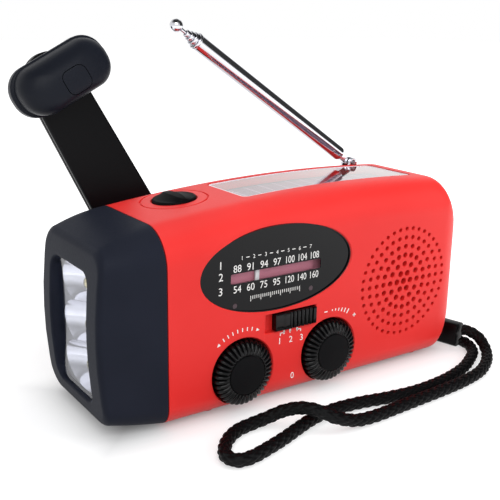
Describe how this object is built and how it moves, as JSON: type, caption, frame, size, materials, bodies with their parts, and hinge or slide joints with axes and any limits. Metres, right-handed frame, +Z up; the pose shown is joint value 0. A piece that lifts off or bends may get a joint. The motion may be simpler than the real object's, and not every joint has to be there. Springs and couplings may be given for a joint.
{
  "type": "hand crank emergency radio",
  "caption": "Pocket radio with torch head, tuning dial, fluted knobs, ringed loudspeaker grille, solar top, telescopic aerial, folding hand crank with gear train and a wrist strap.",
  "frame": {"origin": "middle of the flat underside of the housing, one millimetre above the surface its feet stand on", "axes": "+X along the length to the loudspeaker end, -Y out of the front with the dial, +Z up"},
  "size_m": [0.137, 0.094, 0.1078],
  "materials": {
    "red_abs": "satin moulded red ABS",
    "black_abs": "fine textured black ABS",
    "chrome_plate": "bright chrome plate",
    "reflector_chrome": "vacuum metallised reflector",
    "clear_plastic": "clear polished acrylic",
    "led_resin": "clear LED resin",
    "dial_gloss": "smoked gloss window",
    "dial_plate": "printed black scale plate",
    "white_plastic": "white moulding",
    "circuit_board": "green solder mask",
    "steel": "plain bright steel",
    "solar_cells": "dark silicon cells under resin",
    "ferrite": "dark grey ferrite",
    "paper_cone": "black pressed paper",
    "nylon": "natural nylon",
    "cell_wrap": "shrink wrapped cell",
    "braid": "woven black cord",
    "rubber": "soft black rubber"
  },
  "bodies": {
    "housing": {"front_shell": "red_abs", "rear_shell": "red_abs", "housing_screw_1": "steel", "housing_screw_2": "steel", "housing_screw_3": "steel", "housing_screw_4": "steel", "torch_bezel": "black_abs", "torch_lens": "clear_plastic", "torch_reflector": "reflector_chrome", "torch_led_1": "led_resin", "torch_led_2": "led_resin", "torch_led_3": "led_resin", "led_board": "circuit_board", "dial_lens": "dial_gloss", "dial_plate": "dial_plate", "tuning_capacitor": "white_plastic", "volume_control": "steel", "band_switch": "steel", "torch_switch": "black_abs", "solar_window": "clear_plastic", "solar_panel": "solar_cells", "speaker_basket": "steel", "speaker_magnet": "steel", "main_board": "circuit_board", "ferrite_rod": "ferrite", "battery_cell": "cell_wrap", "generator_can": "steel", "charge_socket": "steel", "strap_loop": "braid", "strap_bead": "black_abs", "strap_cord": "braid"},
    "crank": {"crank_hub": "black_abs", "crank_gear": "nylon", "crank_pin": "steel"},
    "arm": {"crank_arm": "black_abs", "grip_pin": "black_abs"},
    "grip": {"crank_grip": "black_abs", "grip_plug": "black_abs"},
    "idler": {"idler_gear": "nylon"},
    "rotor": {"generator_rotor": "steel"},
    "aerial_swivel": {"aerial_base": "chrome_plate", "aerial_pin": "steel"},
    "aerial_section_1": {"aerial_tube_1": "chrome_plate"},
    "aerial_section_2": {"aerial_tube_2": "chrome_plate"},
    "aerial_section_3": {"aerial_tube_3": "chrome_plate"},
    "aerial_section_4": {"aerial_tube_4": "chrome_plate"},
    "aerial_tip": {"aerial_rod": "chrome_plate"},
    "tuning": {"tuning_knob": "black_abs"},
    "pointer": {"dial_pointer": "white_plastic"},
    "volume": {"volume_knob": "black_abs"},
    "band": {"band_slider": "black_abs"},
    "torch_control": {"torch_knob": "black_abs"},
    "cone": {"speaker_cone": "paper_cone"},
    "port": {"port_cover": "rubber"}
  },
  "joints": [
    {"name": "crank_turn", "type": "hinge", "parent": "housing", "child": "crank", "pos_m": [-0.0239, 0.024, 0.0329], "axis": [0, 1, 0], "continuous": true},
    {"name": "crank_fold", "type": "hinge", "parent": "crank", "child": "arm", "pos_m": [-0.0239, 0.031, 0.0329], "axis": [-0.9018, 0, -0.4321], "range_deg": [-3, 171]},
    {"name": "grip_spin", "type": "hinge", "parent": "arm", "child": "grip", "pos_m": [-0.05057, 0.04078, 0.08857], "axis": [-0.0676, -0.9877, 0.1411], "continuous": true},
    {"name": "idler_spin", "type": "hinge", "parent": "housing", "child": "idler", "pos_m": [-0.00502, 0.0123, 0.02889], "axis": [0, 1, 0], "continuous": true},
    {"name": "rotor_spin", "type": "hinge", "parent": "housing", "child": "rotor", "pos_m": [0.01311, 0.0123, 0.02229], "axis": [0, 1, 0], "continuous": true},
    {"name": "aerial_turn", "type": "hinge", "parent": "housing", "child": "aerial_swivel", "pos_m": [0.0468, 0.0172, 0.0595], "axis": [0, 0, 1], "range_deg": [0, 180]},
    {"name": "aerial_tilt", "type": "hinge", "parent": "aerial_swivel", "child": "aerial_section_1", "pos_m": [0.0468, 0.0172, 0.0595], "axis": [0, 1, 0], "range_deg": [-8, 56]},
    {"name": "aerial_slide_2", "type": "slide", "parent": "aerial_section_1", "child": "aerial_section_2", "axis": [-0.832, 0, 0.5548], "range_m": [0, 0.05]},
    {"name": "aerial_slide_3", "type": "slide", "parent": "aerial_section_2", "child": "aerial_section_3", "axis": [-0.832, 0, 0.5548], "range_m": [0, 0.05]},
    {"name": "aerial_slide_4", "type": "slide", "parent": "aerial_section_3", "child": "aerial_section_4", "axis": [-0.832, 0, 0.5548], "range_m": [0, 0.05]},
    {"name": "aerial_slide_5", "type": "slide", "parent": "aerial_section_4", "child": "aerial_tip", "axis": [-0.832, 0, 0.5548], "range_m": [0, 0.05]},
    {"name": "tuning_turn", "type": "hinge", "parent": "housing", "child": "tuning", "pos_m": [-0.0222, -0.02, 0.0112], "axis": [0, 1, 0], "range_deg": [-85, 184.5]},
    {"name": "pointer_slide", "type": "slide", "parent": "housing", "child": "pointer", "axis": [1, 0, 0], "range_m": [-0.009, 0.0195]},
    {"name": "volume_turn", "type": "hinge", "parent": "housing", "child": "volume", "pos_m": [0.0087, -0.02, 0.0112], "axis": [0, 1, 0], "range_deg": [0, 290]},
    {"name": "band_shift", "type": "slide", "parent": "housing", "child": "band", "axis": [1, 0, 0], "range_m": [-0.003, 0]},
    {"name": "torch_turn", "type": "hinge", "parent": "housing", "child": "torch_control", "pos_m": [-0.0294, 0.0046, 0.05692], "axis": [-0.1, 0, 0.995], "range_deg": [0, 90]},
    {"name": "cone_stroke", "type": "slide", "parent": "housing", "child": "cone", "axis": [0, 1, 0], "range_m": [-0.0002, 0.0002], "stiffness_N_per_m": 600},
    {"name": "port_open", "type": "hinge", "parent": "housing", "child": "port", "pos_m": [0.012, 0.0215, 0.0042], "axis": [-1, 0, 0], "range_deg": [0, 95]}
  ],
  "couplings": [
    {"joint": "idler_spin", "follows": "crank_turn", "ratio": -3},
    {"joint": "rotor_spin", "follows": "crank_turn", "ratio": 9},
    {"joint": "pointer_slide", "follows": "tuning_turn", "m_per_rad": 0.006048}
  ]
}
